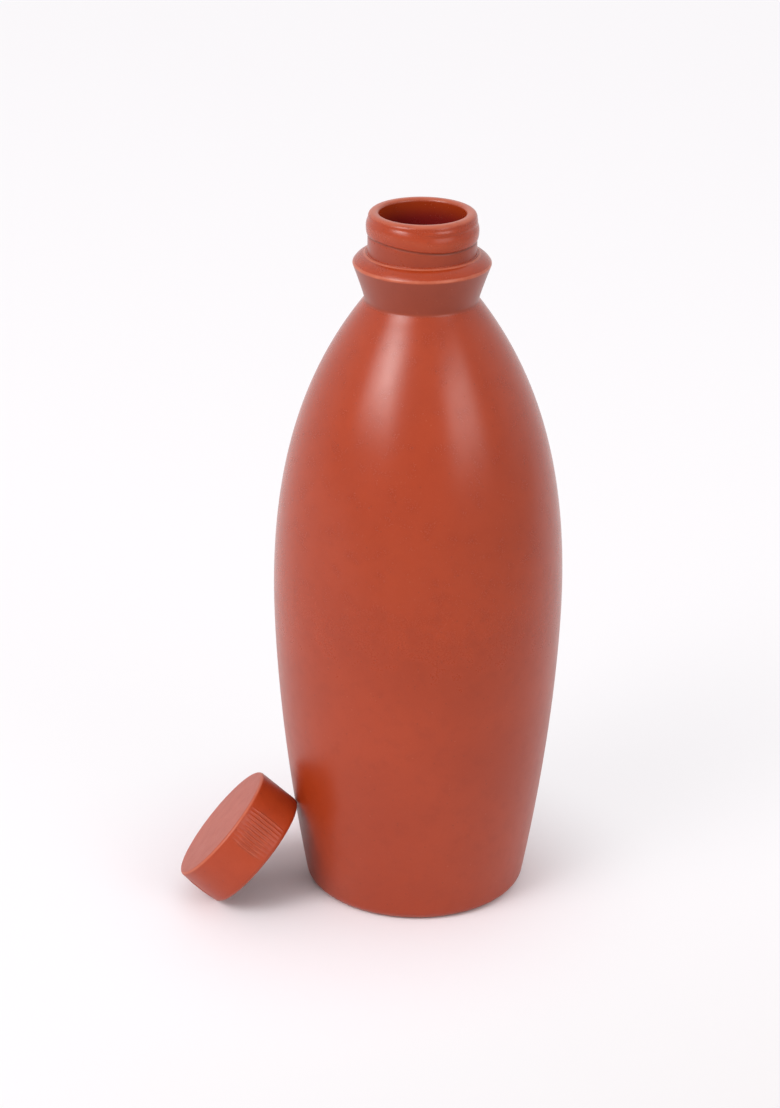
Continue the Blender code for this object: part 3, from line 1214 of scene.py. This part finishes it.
@dataclass(frozen=True)
class Studio:
    """Pale floor, soft surroundings, a key light, a side light and the camera.

    The surroundings are brightest behind the bottle and dimmer on the viewer's side, above all to
    the right, which keeps the clay deep in colour at its middle and pale along its rims. The floor
    keeps the objects' shadow near shadow_middle and glows plain and pale further off. Its colour is
    painted darker towards the viewer as painted shade, and rays that come straight to the eye see
    less of that change from near to far than mirrored ones.
    """

    floor_side: float = 12.0
    floor_colour: Colour = (0.890, 0.850, 0.850)
    floor_near: Colour = (0.610, 0.565, 0.530)
    floor_far: Colour = (0.870, 0.830, 0.860)
    floor_ends: Span = (-0.40, 0.02)
    floor_slant: float = 0.5
    glow_near: Colour = (0.700, 0.655, 0.630)
    glow_far: Colour = (1.000, 0.985, 1.000)
    glow_share: float = 0.70
    glow_ends: Span = (0.05, 0.13)
    glow_full: Span = (1.20, 2.60)
    straight_share: float = 0.65
    shadow_middle: Place = (-0.03, -0.02, 0.0)
    white: Colour = (1.0, 1.0, 1.0)
    above: float = 0.82
    above_span: Span = (0.30, 0.60)
    behind: float = 0.68
    behind_span: Span = (-0.25, 0.25)
    before: tuple[float, float] = (0.29, 0.24)
    before_span: Span = (-0.6, 0.6)
    room: float = 0.70
    eye: Place = (-0.00995, -0.99108, 0.54884)
    pitch: float = math.radians(23.154)
    roll: float = math.radians(0.513)
    lens: float = 99.84
    sensor: float = 36.0

    def lamps(self) -> list[Softbox]:
        """Lay out the key light on the left and the fainter one on the right.

        Returns:
            Their softboxes, set so that each light is brightest at its middle.
        """
        return [
            Softbox("key_softbox", -47.0, 37.0, 3.20, 2.60, 2.40, 0.62),
            Softbox("key_ring", -48.0, 36.5, 3.19, 2.15, 1.95, 2.00),
            Softbox("key_core", -48.0, 37.5, 3.18, 1.45, 1.50, 2.95),
            Softbox("key_heart", -45.5, 38.0, 3.17, 0.75, 1.00, 5.20),
            Softbox("side_softbox", 46.5, 25.0, 3.20, 2.00, 1.90, 0.95),
            Softbox("side_core", 45.5, 25.5, 3.19, 1.70, 1.35, 1.35),
            Softbox("side_heart", 45.5, 26.5, 3.18, 1.10, 0.85, 1.30),
        ]

    @staticmethod
    def seen_rays(graph: Graph) -> tuple[Wire, Wire]:
        """Masks of the rays that show the setting, and of those that come straight to the eye."""
        straight, mirrored, through = (graph.light_path(output) for output in (0, 3, 6))
        return straight.greater(mirrored).greater(through), straight

    def build_floor(self) -> None:
        """Lay the floor, with the shadow close by and a plain pale glow further off."""
        Wheel.deselect()
        bpy.ops.mesh.primitive_plane_add(size=self.floor_side, location=(0.0, 0.0, 0.0))
        floor = bpy.context.object
        floor.name = floor.data.name = "pale_floor"
        material, graph = new_material("pale_floor")
        place = graph.place()
        # Painted shade: the floor's colour and its glow darken towards the viewer
        depth = graph.channel(place, 1) - graph.channel(place, 0) * self.floor_slant
        depth = depth.lifted(self.floor_ends)
        seen, straight = self.seen_rays(graph)
        depth = depth + straight * (1.0 - depth) * self.straight_share
        colour = graph.mixed(depth, self.floor_near, self.floor_far)
        colour = graph.mixed(seen, self.floor_colour, colour)
        off = graph.vector("DISTANCE", place, self.shadow_middle, 1)
        share = off.lifted(self.glow_ends) * self.glow_share
        share = share + off.lifted(self.glow_full) * (1.0 - self.glow_share)
        lit = graph.node("ShaderNodeBsdfDiffuse", None, {"Color": colour})
        plain = graph.node("ShaderNodeEmission", None, {
            "Color": graph.mixed(depth, self.glow_near, self.glow_far), "Strength": 1.0})
        graph.end(graph.node("ShaderNodeMixShader", None, {0: seen * share, 1: lit, 2: plain}))
        floor.data.materials.append(material)

    def build_world(self) -> None:
        """Surround the set with soft light, white to the eye and mirrored dimmer in front."""
        world = bpy.data.worlds.new("studio_surround")
        bpy.context.scene.world = world
        world.use_nodes = True
        graph = Graph(world.node_tree)
        direction = graph.node("ShaderNodeTexCoord", output=0)
        high = graph.channel(direction, 2).lifted(self.above_span)
        back = graph.channel(direction, 1).lifted(self.behind_span)
        left, right = self.before
        front = left + graph.channel(direction, 0).lifted(self.before_span) * (right - left)
        level = front * (1.0 - back) + back * self.behind
        level = level * (1.0 - high) + high * self.above
        seen, straight = self.seen_rays(graph)
        backdrop = self.room + (1.0 - self.room) * back
        backdrop = backdrop + straight * (1.0 - backdrop)
        shader = graph.node("ShaderNodeBackground", None, {
            "Color": graph.mixed(seen, self.white, self.glow_far),
            "Strength": level * (1.0 - seen) + backdrop * seen,
        })
        graph.end(shader, "ShaderNodeOutputWorld")

    def build_camera(self) -> None:
        """Stand the camera where the photograph was taken from."""
        Wheel.deselect()
        bpy.ops.object.camera_add(location=self.eye)
        camera = bpy.context.object
        camera.name = camera.data.name = "photo_camera"
        level = Matrix.Rotation(math.pi / 2 - self.pitch, 3, "X")
        camera.rotation_euler = (level @ Matrix.Rotation(self.roll, 3, "Z")).to_euler()
        camera.data.lens = self.lens
        camera.data.sensor_width = self.sensor
        bpy.context.scene.camera = camera

    def build(self) -> None:
        """Set up the whole studio."""
        self.build_camera()
        self.build_world()
        self.build_floor()
        for lamp in self.lamps():
            lamp.build()
        bpy.context.scene.view_settings.view_transform = "Standard"


def main() -> None:
    """Build the studio and the three pieces, tie each piece to its body, and hide the CAD node that
    it stands for.
    """
    Studio().build()
    bottle = Bottle().build(ClayFinish("burnished_red_clay", Burnish.WALL))
    maker = ScrewCap()
    cap = maker.build_cap(ClayFinish(
        "red_cap_clay", Burnish.CAP, body=(0.352, 0.0390, 0.0072), warm=(0.386, 0.0450, 0.0088),
        deep=(0.312, 0.0320, 0.0056), cloud_scale=34.0))
    ring = maker.build_ring(SiliconeFinish())
    for piece, body, node, slot in (
            (bottle, "bottle", "bottle_body", "bottle_clay"),
            (cap, "cap", "screw_cap", "cap_clay"),
            (ring, "cap", "cap_gasket", "seal_silicone")):
        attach(piece, body)
        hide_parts(node)
        log.info("%s: %d faces, stands for %s", piece.name, len(piece.data.polygons), node)


if __name__ == "__main__":
    logging.basicConfig(level=logging.INFO, format="%(name)s: %(message)s")
    main()
